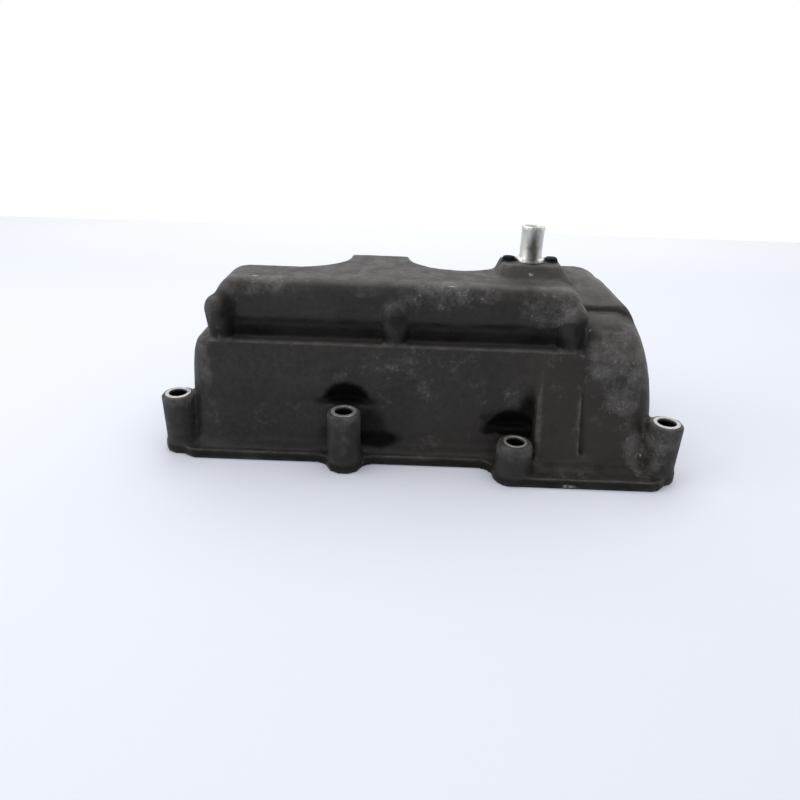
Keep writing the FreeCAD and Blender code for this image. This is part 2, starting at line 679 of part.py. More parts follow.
def main():
    os.makedirs("parts", exist_ok=True)
    pieces = {
        "cover_casting": cover(),
        "breather_nipple": nipple(),
        "baffle_plate": baffle(),
        "baffle_screws": Part.makeCompound([screw(x, y) for x, y in screw_places()]),
        "cover_gasket": groove_ring(),
    }
    bounds = pieces["cover_casting"].BoundBox
    home = V(-(bounds.XMin + bounds.XMax) / 2, -(bounds.YMin + bounds.YMax) / 2, 0)
    for name, shape in pieces.items():
        shape = one_solid(shape)
        shape.translate(home)
        shape.exportStep("parts/" + name + ".step")
        print(name, len(shape.Solids), shape.isValid(), round(shape.Volume), shape.BoundBox, len(shape.Faces))


main()
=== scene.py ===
"""Finishes the engine valve cover: softened cast skin, turned bolt faces, hose nipple and inner parts."""
import math

import bpy
import numpy as np
from mathutils import Matrix, Vector


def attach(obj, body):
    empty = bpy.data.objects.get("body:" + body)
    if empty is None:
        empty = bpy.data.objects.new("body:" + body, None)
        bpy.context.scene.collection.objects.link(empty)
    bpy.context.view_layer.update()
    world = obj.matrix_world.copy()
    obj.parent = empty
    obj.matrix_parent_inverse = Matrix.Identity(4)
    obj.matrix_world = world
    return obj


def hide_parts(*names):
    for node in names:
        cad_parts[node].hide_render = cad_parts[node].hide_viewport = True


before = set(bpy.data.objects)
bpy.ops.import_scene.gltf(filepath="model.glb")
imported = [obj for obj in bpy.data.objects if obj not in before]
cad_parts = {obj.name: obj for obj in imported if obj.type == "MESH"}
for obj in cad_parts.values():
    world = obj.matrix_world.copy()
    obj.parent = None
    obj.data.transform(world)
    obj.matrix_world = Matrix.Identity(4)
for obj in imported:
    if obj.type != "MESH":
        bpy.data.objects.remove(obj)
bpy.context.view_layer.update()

bl_info = {
    "name": "Engine valve cover",
    "version": (1, 0, 0),
    "blender": (4, 5, 0),
    "location": "View3D > Sidebar > Cover",
    "description": "Cast skin, turned faces, nipple and inner parts of an engine valve cover",
    "category": "Object",
}

MM = 0.001

# Bolt faces: x, y, height, and whether the face is painted light, as a painted reflection of the pale
# backdrop, or else dark, as a painted reflection of the dark wall behind it
BOLT_FACES = (
    (-143.3, -36.9, 36.0, True), (-42.0, -53.2, 36.0, False),
    (57.1, -59.5, 23.6, False), (143.3, -53.2, 36.0, True),
    (-143.3, 41.1, 36.0, True), (-42.0, 57.1, 36.0, False),
    (57.1, 59.1, 23.6, False), (143.3, 57.1, 36.0, True),
)
BORE_R = 5.3
LOW_TOP = 30.0           # a tower lower than this is one of the low pair
FLANGE_T = 6.0
FOOT_REACH = (15.0, 15.0, 7.0)
PANEL_FROM_X = 69.4
TOWER_R = 9.7

# Socket clearances over two front towers: middle and radius of the ball that cuts them
SCOOPS = (((-42.0, -53.2, 32.1), 19.2), ((57.1, -59.5, 16.0), 24.3))

# Areas as lowest corner, highest corner, soft rim and amount: the ledge, the band of its painted highlight,
# the recess's upper edge, the flange,
# and the forms that the moulding blends most: the recess with its pillars, the ridge between the wells, the
# pad and the rims of the socket clearances
LEDGE_EDGE = ((-130.0, -36.0, 67.0), (92.0, -31.0, 70.5), 1.5, 1.0)
LEDGE_TOP = ((-135.0, -36.0, 66.0), (93.0, -27.0, 69.9), 1.4, 1.0)
# The ledge's edge band, painted lighter as a highlight
LEDGE_HIGHLIGHT = ((-124.0, -33.6, 68.7), (91.0, -30.8, 70.0), 0.9, 1.0)
RECESS_EDGE = ((-118.0, -36.0, 79.5), (92.0, -26.0, 86.5), 2.0, 0.85)
FLANGE = ((-160.0, -75.0, 0.0), (160.0, 75.0, 7.0), 1.0, 0.5)
BLENDED = (
    ((-128.0, -34.0, 75.0), (100.0, -20.0, 100.0), 3.0, 1.0),
    ((-52.0, 24.0, 97.0), (0.0, 46.0, 106.0), 4.0, 1.0),
    ((44.0, -12.0, 103.0), (88.0, -2.0, 110.5), 2.0, 1.0),
    ((-62.0, -46.0, 36.5), (-22.0, -36.0, 46.0), 3.0, 1.0),
    ((35.0, -48.0, 25.0), (69.0, -36.0, 38.0), 3.0, 1.0),
)

# The skin's softening: rounds of smoothing, the size of its lumps, and the merge distance in millimetres
SOFT_ROUNDS = 7
BLEND_ROUNDS = 16
LUMP_SIZE = 0.016
MERGE = 0.002

# Where the skin is held from softening: the joint face, the bolt faces and the ledge's front edge
JOINT_HELD = 0.6          # not at all up to here, then more over the next length
JOINT_RISE = 2.5
FACE_HELD = 6.0           # from this far under a bolt face, rising over the next length
FACE_RISE = 4.0
FACE_SHARE = 0.9
LEDGE_SHARE = 0.6

# Worn edges, with a painted highlight along the ledge, and hollows, which darken as dirt and painted shade,
# told from the skin by rounds of smoothing and by how far a point stands out or in
EDGE_ROUNDS = 10
EDGE_FULL = 0.30
HOLLOW_ROUNDS = 70
HOLLOW_FULL = 2.2
HOLLOW_SHADE = 0.5
HIGHLIGHT_SHARE = 0.9

# Painted shade in the socket clearances and on the bolt bores' walls, and the smooth panel that stays clean
# and free of painted shade
SCOOP_SHADE = 1.1
SCOOP_SPREAD = 4.5        # past the ball
SCOOP_LOW = 1.5           # from this far over the ball's middle, rising over the same length
SCOOP_SIDES = (1.3, 0.3)  # share over the ball's middle, capped at 1, and the least at its sides
SCOOP_CLEAR = 1.4         # round the tower
BORE_WALL = 0.6
BORE_MOUTH = 0.7
PANEL_TO_Z = 66.0

# Dust on faces that look up
DUST_FROM_Z = 80.0
DUST_RISE = 8.0
DUST_BOX_TO_X = 95.0
DUST_BOX = 0.47
DUST_LEDGE = 0.45

# Colours of the marks on the skin
WARM_SKIN = (0.027, 0.0235, 0.0195, 1.0)
DUST_COLOUR = (0.076, 0.074, 0.068, 1.0)
# Colour of worn edges and of the painted highlight on the ledge
WORN_AND_HIGHLIGHT_COLOUR = (0.11, 0.106, 0.10, 1.0)
CHIP_COLOUR = (0.42, 0.36, 0.35, 1.0)
DOT_COLOUR = (0.25, 0.24, 0.225, 1.0)

# Bare ring on a bolt face: free of the bore, its depth and height at the face, and its bevels
RING_FREE = 0.02
RING_DEEP = 0.5
RING_PROUD = 0.06
RING_MOUTH = (0.12, 0.1)
RING_BEVEL = 0.15
RING_SIDES = 72
NIPPLE_SIDES = 96
CREASE = 38               # edges sharper than this many degrees stay sharp

# Table and lamps, in metres: place, aim and size
TABLE_SIZE = (2.6, 1.32, 1.0)
TABLE_DROP = 0.02 * MM
OVERHEAD = ((0.05, 0.35, 1.15), (0.0, 0.0, 0.05), 1.5)
LEFT_SIDE = ((-0.95, -0.25, 0.55), (0.0, 0.0, 0.04), 0.8)

# Hose nipple, as radius and height up the outside, over the mouth and down the bore
NIPPLE_AT = (65.2, 6.1)
NIPPLE_PROFILE = (
    (6.6, 102.6), (6.6, 112.2), (8.2, 112.5), (8.58, 112.75), (8.6, 113.9), (8.3, 114.35), (7.4, 114.6),
    (6.85, 114.85), (6.6, 115.4), (6.6, 129.6), (6.7, 130.6), (6.82, 131.6), (6.84, 132.4), (6.7, 133.0),
    (6.35, 133.4), (5.85, 133.5), (5.35, 133.25), (5.0, 132.6), (4.8, 131.6), (4.7, 130.4), (4.7, 102.6),
)

# Camera at the photograph's angle, and the picture's size
FOCAL_PX = 633.0
PICTURE_PX = 800
CAMERA_AT = (-5.98, -376.47, 203.79)
CAMERA_TURN = (0.689, 26.202, 1.774)


class CoverLook(bpy.types.PropertyGroup):
    """Sizes and colours of the finished cover."""
    skin_voxel: bpy.props.FloatProperty(
        name="Skin grain", description="Cell size at which the cast skin is remeshed",
        default=1.0 * MM, unit="LENGTH")
    skin_lumps: bpy.props.FloatProperty(
        name="Cast lumps", description="Height of the slow waves in the sand-cast skin",
        default=0.45 * MM, unit="LENGTH")
    skin_faces: bpy.props.IntProperty(
        name="Skin triangles", description="Most triangles that the cast skin keeps", default=185000)
    skin_dark: bpy.props.FloatVectorProperty(
        name="Dark skin", description="Aged cast metal where oil has soaked in",
        subtype="COLOR", size=4, default=(0.0115, 0.0105, 0.0102, 1.0))
    skin_pale: bpy.props.FloatVectorProperty(
        name="Pale skin", description="Aged cast metal where it is dry",
        subtype="COLOR", size=4, default=(0.033, 0.030, 0.029, 1.0))
    oxide: bpy.props.FloatVectorProperty(
        name="Oxide", description="Pale marks and scuffs on the casting",
        subtype="COLOR", size=4, default=(0.17, 0.163, 0.158, 1.0))
    # Dark colour of oily muck, also used as painted shade and painted shadow
    grime_and_shade: bpy.props.FloatVectorProperty(
        name="Grime", description="Oily dirt in the hollows",
        subtype="COLOR", size=4, default=(0.0042, 0.0042, 0.0044, 1.0))
    face_ring: bpy.props.FloatProperty(
        name="Turned ring", description="Outer radius of the bare ring on a bolt face",
        default=7.5 * MM, unit="LENGTH")
    low_ring: bpy.props.FloatProperty(
        name="Low tower's ring", description="Outer radius of the bare ring on a low tower",
        default=6.7 * MM, unit="LENGTH")


class CoverStage(bpy.types.PropertyGroup):
    """Floor and light round the cover."""
    floor_colour: bpy.props.FloatVectorProperty(
        name="Floor", description="Pale table under the cover",
        subtype="COLOR", size=4, default=(0.80, 0.83, 0.92, 1.0))
    top_light: bpy.props.FloatProperty(
        name="Overhead light", description="Power of the wide overhead lamp", default=11.3, unit="POWER")
    side_light: bpy.props.FloatProperty(
        name="Side light", description="Power of the lamp at the left", default=3.3, unit="POWER")
    fill: bpy.props.FloatProperty(
        name="Fill", description="Strength of the plain light from all round", default=0.50,
        min=0.0, max=1.0, subtype="FACTOR")


def put_down():
    """Leaves every object deselected, in object mode."""
    if bpy.context.object and bpy.context.object.mode != "OBJECT":
        bpy.ops.object.mode_set(mode="OBJECT")
    bpy.ops.object.select_all(action="DESELECT")


def take(piece):
    """Makes one piece the only selected one."""
    put_down()
    piece.select_set(True)
    bpy.context.view_layer.objects.active = piece


def fit(piece, name, slot, *nodes):
    """Names a finished piece, moves its place into its mesh and hands it to the frame."""
    take(piece)
    bpy.ops.object.transform_apply(location=True, rotation=True, scale=True)
    piece.name = name
    piece.data.name = name
    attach(piece, "root")
    if nodes:
        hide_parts(*nodes)
    return piece


def modify(piece, kind, **values):
    """Adds one modifier with these values and applies it."""
    take(piece)
    step = piece.modifiers.new(kind.title(), kind)
    for key, value in values.items():
        setattr(step, key, value)
    bpy.ops.object.modifier_apply(modifier=step.name)


def finish_with(piece, material):
    piece.data.materials.clear()
    piece.data.materials.append(material)


def turned(profile, at, segments):
    """A turned piece: a ring drawn out along a closed profile of radius and height, in millimetres."""
    put_down()
    radius, height = profile[0]
    centre = Vector((at[0] * MM, at[1] * MM, height * MM))
    bpy.ops.mesh.primitive_circle_add(vertices=segments, radius=radius * MM, location=centre,
                                      fill_type="NOTHING", enter_editmode=True)
    for following, level in tuple(profile[1:]) + (profile[0],):
        bpy.ops.mesh.extrude_region_move(TRANSFORM_OT_translate={"value": (0, 0, (level - height) * MM)})
        scale = following / radius
        bpy.ops.transform.resize(value=(scale, scale, 1.0), center_override=(centre.x, centre.y, level * MM))
        radius, height = following, level
    bpy.ops.mesh.select_all(action="SELECT")
    bpy.ops.mesh.remove_doubles(threshold=0.001 * MM)
    bpy.ops.mesh.normals_make_consistent(inside=False)
    bpy.ops.object.mode_set(mode="OBJECT")
    piece = bpy.context.object
    bpy.ops.object.shade_smooth_by_angle(angle=math.radians(CREASE))
    return piece


class Shading:
    """Builds one procedural material, node by node."""

    def __init__(self, name):
        self.material = bpy.data.materials.new(name)
        self.material.use_nodes = True
        self.tree = self.material.node_tree
        self.tree.nodes.clear()
        self.surface = self.add("ShaderNodeBsdfPrincipled")
        out = self.add("ShaderNodeOutputMaterial")
        self.tree.links.new(self.surface.outputs["BSDF"], out.inputs["Surface"])
        self.place = self.add("ShaderNodeTexCoord").outputs["Object"]

    def add(self, kind, **values):
        node = self.tree.nodes.new(kind)
        for key, value in values.items():
            setattr(node, key, value)
        return node

    def feed(self, socket, value):
        """Puts a link or a plain value on a socket."""
        if isinstance(value, bpy.types.NodeSocket):
            self.tree.links.new(value, socket)
        else:
            socket.default_value = value

    def stretched(self, scale):
        """Object place, stretched along each axis."""
        node = self.add("ShaderNodeMapping")
        self.feed(node.inputs["Vector"], self.place)
        node.inputs["Scale"].default_value = scale
        return node.outputs["Vector"]

    def noise(self, scale, detail=4.0, rough=0.55, place=None, bend=0.0):
        node = self.add("ShaderNodeTexNoise")
        self.feed(node.inputs["Vector"], place or self.place)
        node.inputs["Scale"].default_value = scale
        node.inputs["Detail"].default_value = detail
        node.inputs["Roughness"].default_value = rough
        node.inputs["Distortion"].default_value = bend
        return node.outputs["Fac"]

    def cells(self, scale):
        node = self.add("ShaderNodeTexVoronoi")
        self.feed(node.inputs["Vector"], self.place)
        node.inputs["Scale"].default_value = scale
        return node.outputs["Distance"]

    def between(self, value, low, high, to_low=0.0, to_high=1.0):
        """A soft step of a value from low to high."""
        node = self.add("ShaderNodeMapRange", interpolation_type="SMOOTHSTEP")
        self.feed(node.inputs["Value"], value)
        node.inputs["From Min"].default_value = low
        node.inputs["From Max"].default_value = high
        node.inputs["To Min"].default_value = to_low
        node.inputs["To Max"].default_value = to_high
        return node.outputs["Result"]

    def sum(self, operation, first, second):
        node = self.add("ShaderNodeMath", operation=operation)
        self.feed(node.inputs[0], first)
        self.feed(node.inputs[1], second)
        return node.outputs["Value"]

    def mix(self, share, first, second):
        node = self.add("ShaderNodeMix", data_type="RGBA")
        self.feed(node.inputs["Factor"], share)
        self.feed(node.inputs["A"], first)
        self.feed(node.inputs["B"], second)
        return node.outputs["Result"]

    def mark(self, name):
        """A value stored on the mesh's points."""
        return self.add("ShaderNodeAttribute", attribute_name=name).outputs["Fac"]

    def upward(self):
        """How far the surface faces up, from 0 to 1."""
        apart = self.add("ShaderNodeSeparateXYZ")
        self.feed(apart.inputs["Vector"], self.add("ShaderNodeNewGeometry").outputs["Normal"])
        return apart.outputs["Z"]

    def bump(self, heights):
        """Chains bumps of height and depth in millimetres into the surface's normal."""
        normal = None
        for height, depth in heights:
            node = self.add("ShaderNodeBump")
            self.feed(node.inputs["Height"], height)
            node.inputs["Distance"].default_value = depth * MM
            if normal:
                self.feed(node.inputs["Normal"], normal)
            normal = node.outputs["Normal"]
        self.feed(self.surface.inputs["Normal"], normal)

    def set(self, **values):
        names = {"colour": "Base Color", "rough": "Roughness", "metal": "Metallic",
                 "gloss": "Specular IOR Level"}
        for key, value in values.items():
            self.feed(self.surface.inputs[names[key]], value)
        return self.material


def cast_skin(look):
    """Aged sand-cast metal: mottled dark skin, pale oxide specks, worn edges with a painted highlight on the
    ledge, dust, and dark patches of oily muck and painted shade.
    """
    s = Shading("aged_cast_skin")
    blotches = s.between(s.noise(26.0, 6.0, 0.68, bend=0.3), 0.36, 0.66)
    patches = s.between(s.noise(95.0, 6.0, 0.68, bend=0.15), 0.36, 0.66)
    specks = s.between(s.noise(330.0, 4.0, 0.6), 0.34, 0.68)
    tone = s.sum("MULTIPLY", s.sum("ADD", s.sum("ADD", blotches, patches), specks), 0.333)
    colour = s.mix(tone, tuple(look.skin_dark), tuple(look.skin_pale))
    warm = s.between(s.noise(11.0, 3.0, 0.5), 0.45, 0.7, 0.0, 0.6)
    colour = s.mix(warm, colour, WARM_SKIN)
    uneven = s.between(s.noise(60.0, 5.0, 0.6), 0.2, 0.7, 0.5, 1.0)
    settled = s.sum("MULTIPLY", s.between(s.upward(), 0.60, 0.95), uneven)
    dusty = s.sum("MULTIPLY", settled, s.mark("dust"))
    colour = s.mix(dusty, colour, DUST_COLOUR)
    flecks = s.between(s.noise(520.0, 5.0, 0.72, bend=0.1), 0.54, 0.68)
    cloud = s.sum("ADD", s.noise(64.0, 7.0, 0.76, bend=0.1), s.sum("MULTIPLY", s.mark("scuffs"), 0.20))
    spread = s.sum("ADD", s.sum("MULTIPLY", flecks, 0.6), 0.4)
    pale = s.sum("MULTIPLY", spread, s.between(cloud, 0.57, 0.80))
    colour = s.mix(pale, colour, tuple(look.oxide))
    worn = s.between(s.noise(130.0, 5.0, 0.7), 0.36, 0.66, 0.25, 1.0)
    # Worn edges lighten, and so does the ledge's band as a painted highlight
    rubbed_and_highlit = s.sum("MULTIPLY", s.between(s.mark("edges"), 0.25, 0.9), worn)
    colour = s.mix(s.sum("MULTIPLY", rubbed_and_highlit, 0.6), colour, WORN_AND_HIGHLIGHT_COLOUR)
    ragged = s.sum("MULTIPLY", s.sum("SUBTRACT", s.noise(48.0, 5.0, 0.65), 0.5), 0.55)
    # Darkened towards the dark colour and less glossy: dirty patches, painted shade in hollows, the recess,
    # socket clearances and bores, and painted shadow beside tower two
    dirt_and_shade = s.mark("dirt_and_shade")
    broken = s.sum("MULTIPLY", s.sum("ADD", dirt_and_shade, ragged), s.between(dirt_and_shade, 0.0, 0.2))
    colour = s.mix(s.between(broken, 0.15, 0.90), colour, tuple(look.grime_and_shade))
    struck = s.sum("MULTIPLY", s.between(s.mark("chips"), 0.2, 0.9), s.between(s.noise(900.0), 0.3, 0.5))
    colour = s.mix(struck, colour, CHIP_COLOUR)
    dots = s.sum("MULTIPLY", s.between(s.noise(430.0, 2.0, 0.4), 0.66, 0.72), s.between(cloud, 0.55, 0.78))
    colour = s.mix(s.sum("MULTIPLY", dots, 0.5), colour, DOT_COLOUR)
    fine = s.noise(900.0, 3.0, 0.6)
    rough = s.between(s.sum("ADD", patches, s.sum("MULTIPLY", fine, 0.3)), 0.1, 1.3, 0.42, 0.64)
    pits = s.between(s.cells(700.0), 0.0, 0.28)
    s.bump(((s.noise(240.0, 4.0, 0.6), 0.24), (fine, 0.12), (pits, 0.06)))
    gloss = s.between(broken, 0.2, 0.9, 0.22, 0.03)
    return s.set(colour=colour, rough=rough, metal=0.0, gloss=gloss)


def bare_face(name, sees_backdrop):
    """Turned metal of a bolt face, with fine turning marks and stains; its colours are lighter on faces that
    see the pale backdrop and darker on those that see the dark wall, as painted reflection.
    """
    s = Shading(name)
    stain = s.between(s.noise(210.0, 5.0, 0.65, bend=0.4), 0.38, 0.68)
    clean, dull = (((0.52, 0.515, 0.51, 1.0), (0.36, 0.355, 0.345, 1.0)) if sees_backdrop
                   else ((0.42, 0.416, 0.405, 1.0), (0.15, 0.147, 0.138, 1.0)))
    colour = s.mix(stain, clean, dull)
    scratches = s.noise(1600.0, 3.0, 0.6)
    s.bump(((scratches, 0.03), (s.noise(420.0, 3.0, 0.5), 0.04)))
    return s.set(colour=colour, rough=s.between(stain, 0.0, 1.0, 0.38, 0.6), metal=0.65, gloss=0.5)


def plated_tube():
    """Bright plated steel, drawn lengthwise, with a painted dark reflection down its forward face, cloudy
    tarnish and small pits.
    """
    s = Shading("tarnished_plated_tube_painted_reflection")
    drawn = s.noise(1.0, 4.0, 0.6, place=s.stretched((420.0, 420.0, 30.0)))
    clouds = s.noise(1.0, 4.0, 0.6, place=s.stretched((260.0, 260.0, 120.0)), bend=0.5)
    # Painted reflection: a dark patch centred on the tube's forward face, where the dark room would be
    # mirrored
    forward_reflection = s.add("ShaderNodeTexGradient", gradient_type="SPHERICAL")
    middle = s.add("ShaderNodeMapping")
    s.feed(middle.inputs["Vector"], s.place)
    middle.inputs["Location"].default_value = (-65.5 / 5.6, 0.4 / 9.0, -121.0 / 22.0)
    middle.inputs["Scale"].default_value = (1.0 / (5.6 * MM), 1.0 / (9.0 * MM), 1.0 / (22.0 * MM))
    s.feed(forward_reflection.inputs["Vector"], middle.outputs["Vector"])
    # The painted dark reflection, mixed with tarnish clouds
    worn = s.sum("ADD", s.sum("MULTIPLY", forward_reflection.outputs["Fac"], 0.85), s.sum("MULTIPLY", clouds, 0.70))
    colour = s.mix(s.between(worn, 0.25, 1.10), (0.64, 0.645, 0.625, 1.0), (0.075, 0.075, 0.065, 1.0))
    spots = s.between(s.cells(420.0), 0.10, 0.22, 1.0, 0.0)
    few = s.sum("MULTIPLY", spots, s.between(s.noise(90.0, 3.0, 0.5), 0.5, 0.62))
    colour = s.mix(few, colour, (0.10, 0.09, 0.075, 1.0))
    s.bump(((drawn, 0.035), (few, 0.05)))
    return s.set(colour=colour, rough=s.between(drawn, 0.3, 0.7, 0.40, 0.58), metal=1.0)


def oiled_sheet():
    """Plain sheet steel under an old, oily film."""
    s = Shading("oiled_sheet_steel")
    film = s.between(s.noise(38.0, 5.0, 0.62, bend=0.7), 0.38, 0.68)
    colour = s.mix(film, (0.36, 0.33, 0.28, 1.0), (0.12, 0.085, 0.05, 1.0))
    s.bump(((s.noise(180.0, 4.0, 0.6), 0.06),))
    return s.set(colour=colour, rough=s.between(film, 0.0, 1.0, 0.46, 0.26), metal=0.8)


def screw_steel():
    """Dull plated screws."""
    s = Shading("dull_plated_screw")
    worn = s.between(s.noise(330.0, 4.0, 0.6), 0.4, 0.66)
    colour = s.mix(worn, (0.38, 0.37, 0.35, 1.0), (0.15, 0.14, 0.13, 1.0))
    s.bump(((s.noise(900.0, 3.0, 0.6), 0.02),))
    return s.set(colour=colour, rough=s.between(worn, 0.0, 1.0, 0.34, 0.52), metal=0.9)


def moulded_rubber():
    """Matt black gasket rubber with a faint bloom."""
    s = Shading("moulded_gasket_rubber")
    bloom = s.between(s.noise(120.0, 5.0, 0.6), 0.4, 0.7)
    colour = s.mix(bloom, (0.014, 0.014, 0.015, 1.0), (0.032, 0.031, 0.030, 1.0))
    s.bump(((s.noise(1200.0, 3.0, 0.6), 0.02),))
    return s.set(colour=colour, rough=s.between(bloom, 0.0, 1.0, 0.5, 0.7), metal=0.0, gloss=0.4)


def table_top(colour):
    """Smooth pale table, with painted light making it brighter towards its far edge."""
    s = Shading("pale_table")
    cloud = s.between(s.noise(3.0, 2.0, 0.5), 0.3, 0.7, 0.0, 0.06)
    shade = s.mix(cloud, tuple(colour), (0.78, 0.80, 0.88, 1.0))
    # Painted light: brighter towards the far edge, where the lamps' light falls off
    apart = s.add("ShaderNodeSeparateXYZ")
    s.feed(apart.inputs["Vector"], s.place)
    shade = s.mix(s.between(apart.outputs["Y"], 0.35, 0.66), shade, (0.90, 0.92, 0.97, 1.0))
    return s.set(colour=shade, rough=0.55, metal=0.0, gloss=0.2)


def points_of(mesh):
    spots = np.empty(len(mesh.vertices) * 3, np.float64)
    mesh.vertices.foreach_get("co", spots)
    return spots.reshape(-1, 3)


def normals_of(mesh):
    ways = np.empty(len(mesh.vertices) * 3, np.float64)
    mesh.vertices.foreach_get("normal", ways)
    return ways.reshape(-1, 3)


def relaxed(spots, ends, passes):
    """The points, each drawn to the mean of its neighbours this many times."""
    count = np.bincount(ends.ravel(), minlength=len(spots))[:, None]
    for _ in range(passes):
        mean = np.empty_like(spots)
        for axis in range(3):
            total = np.bincount(ends[:, 0], spots[ends[:, 1], axis], len(spots))
            total += np.bincount(ends[:, 1], spots[ends[:, 0], axis], len(spots))
            mean[:, axis] = total
        spots = 0.5 * spots + 0.5 * mean / count
    return spots


def store(mesh, name, values):
    layer = mesh.attributes.new(name, "FLOAT", "POINT")
    layer.data.foreach_set("value", np.clip(values, 0.0, 1.0).astype(np.float32))


def near(spots, areas):
    """1 at the middle of each egg-shaped area, in millimetres, falling to 0 at its rim, by its amount."""
    whole = np.zeros(len(spots))
    for middle, reach, amount in areas:
        away = np.linalg.norm((spots / MM - np.array(middle)) / np.array(reach), axis=1)
        whole = np.maximum(whole, amount * np.clip(2.0 * (1.0 - away), 0.0, 1.0))
    return whole


def bands(spots, areas):
    """1 inside each box, in millimetres, falling to 0 over its soft rim, by its amount."""
    whole = np.zeros(len(spots))
    for low, high, soft, amount in areas:
        past = np.maximum(np.maximum(np.array(low) - spots / MM, spots / MM - np.array(high)), 0.0)
        whole = np.maximum(whole, amount * np.clip(1.0 - np.linalg.norm(past, axis=1) / soft, 0.0, 1.0))
    return whole


# Where the cover is dirty and where shade is painted, as middle, reach and amount, and as long bands
DIRT_AND_SHADE = (
    # Painted shade in the socket clearance over tower two; tower two and the crease at its left foot darker;
    # painted shadow of tower two on the wall and flange at its right
    ((-42.0, -40.0, 37.0), (30.0, 14.0, 5.0), 0.7),
    ((-42.0, -55.0, 16.0), (14.0, 14.0, 26.0), 0.38),
    ((-24.0, -45.0, 13.5), (21.0, 14.0, 8.0), 0.9),
    ((-27.0, -45.0, 20.0), (15.0, 14.0, 22.0), 0.6),
    ((-54.0, -46.0, 12.0), (10.0, 12.0, 16.0), 0.5),
    # Painted shade in the socket clearance over tower three and beside it towards the panel
    ((47.0, -42.0, 30.0), (14.0, 14.0, 6.0), 0.6),
    ((66.0, -44.0, 30.0), (9.0, 16.0, 26.0), 0.8),
    ((52.4, 6.1, 112.0), (7.0, 8.0, 6.0), 1.0),
    ((78.0, 6.1, 112.0), (7.0, 8.0, 6.0), 1.0),
    # Painted shade giving the three pillars under the box their dark middles
    ((-12.6, -36.0, 86.5), (9.5, 8.0, 11.0), 0.55),
    ((92.0, -32.0, 83.0), (8.0, 9.0, 11.0), 0.6),
    ((-111.0, -30.0, 86.0), (9.0, 9.0, 14.0), 0.55),
)
RECESS = ((-124.0, -34.0, 68.6), (95.0, -20.0, 87.0), 3.0, 1.0)
DIRT_AND_SHADE_BANDS = (
    # Painted shade, with some dirt, low in the recess under the box
    ((-119.0, -32.0, 71.6), (92.5, -20.0, 76.0), 7.5, 0.66),
    # Painted shade on the flange's forward rim and in the creases at the walls' feet
    ((-150.0, -75.0, 0.0), (150.0, -44.0, 5.0), 1.5, 0.55),
    ((-110.0, -47.0, 6.0), (60.0, -43.0, 9.0), 4.0, 0.45),
    ((75.0, -63.0, 6.0), (128.0, -58.0, 9.0), 4.0, 0.45),
)
SCUFFED = (
    ((120.0, -35.0, 62.0), (34.0, 40.0, 44.0), 1.0),
    ((134.0, -54.0, 18.0), (18.0, 22.0, 20.0), 1.1),
    ((95.0, -66.0, 8.0), (34.0, 16.0, 14.0), 0.3),
    ((-10.0, -40.0, 50.0), (70.0, 20.0, 26.0), 0.35),
    ((-90.0, -40.0, 36.0), (50.0, 20.0, 26.0), 0.08),
    ((76.0, -26.0, 96.0), (28.0, 22.0, 18.0), 1.0),
    ((93.0, -24.0, 91.0), (9.0, 12.0, 10.0), 1.2),
    ((14.0, -27.0, 101.0), (44.0, 14.0, 14.0), 0.8),
    ((-96.0, -24.0, 103.0), (40.0, 14.0, 10.0), 0.7),
)
# Small chips down to bare metal: place and size
CHIPPED = (
    ((64.4, -9.7, 107.9), 1.2), ((56.0, -9.6, 108.0), 0.8), ((87.6, -70.6, 1.6), 1.3),
    ((92.3, -70.6, 1.0), 1.2), ((94.5, -70.4, 2.6), 0.8), ((6.5, -24.5, 104.7), 1.1),
    ((17.2, -26.4, 103.9), 0.9), ((27.1, -29.9, 97.7), 1.0), ((24.8, -29.6, 100.6), 0.8),
    ((132.2, -53.3, 14.4), 1.2), ((90.0, -13.2, 100.8), 1.2), ((88.6, -9.4, 101.8), 1.0),
    ((-96.0, -21.0, 104.9), 0.9), ((113.8, -55.6, 15.0), 0.9), ((-31.5, -55.0, 3.5), 0.9),
    ((99.1, -25.0, 80.7), 0.9),
)


def ledge_clear(spots):
    """0 on the ledge itself, rising to 1 just above it."""
    return 1.0 - bands(spots, (LEDGE_TOP,))


def soft_share(spots):
    """How far each point of the casting may be softened: not at the joint face, little at the bolt faces."""
    share = np.clip((spots[:, 2] / MM - JOINT_HELD) / JOINT_RISE, 0.0, 1.0)
    for x, y, top, _ in BOLT_FACES:
        away = np.hypot(spots[:, 0] / MM - x, spots[:, 1] / MM - y)
        high = np.clip((spots[:, 2] / MM - top + FACE_HELD) / FACE_RISE, 0, 1)
        share *= 1.0 - FACE_SHARE * np.clip(TOWER_R - 1.0 - away, 0, 1) * high
    return share * (1.0 - LEDGE_SHARE * bands(spots, (LEDGE_EDGE,)))


def group_by(piece, name, share, steps=10):
    """A vertex group whose weights follow a share, in a few steps."""
    group = piece.vertex_groups.new(name=name)
    levels = np.round(share * steps).astype(int)
    for level in range(1, steps + 1):
        chosen = np.flatnonzero(levels == level)
        if len(chosen):
            group.add(chosen.tolist(), level / steps, "REPLACE")
    return name


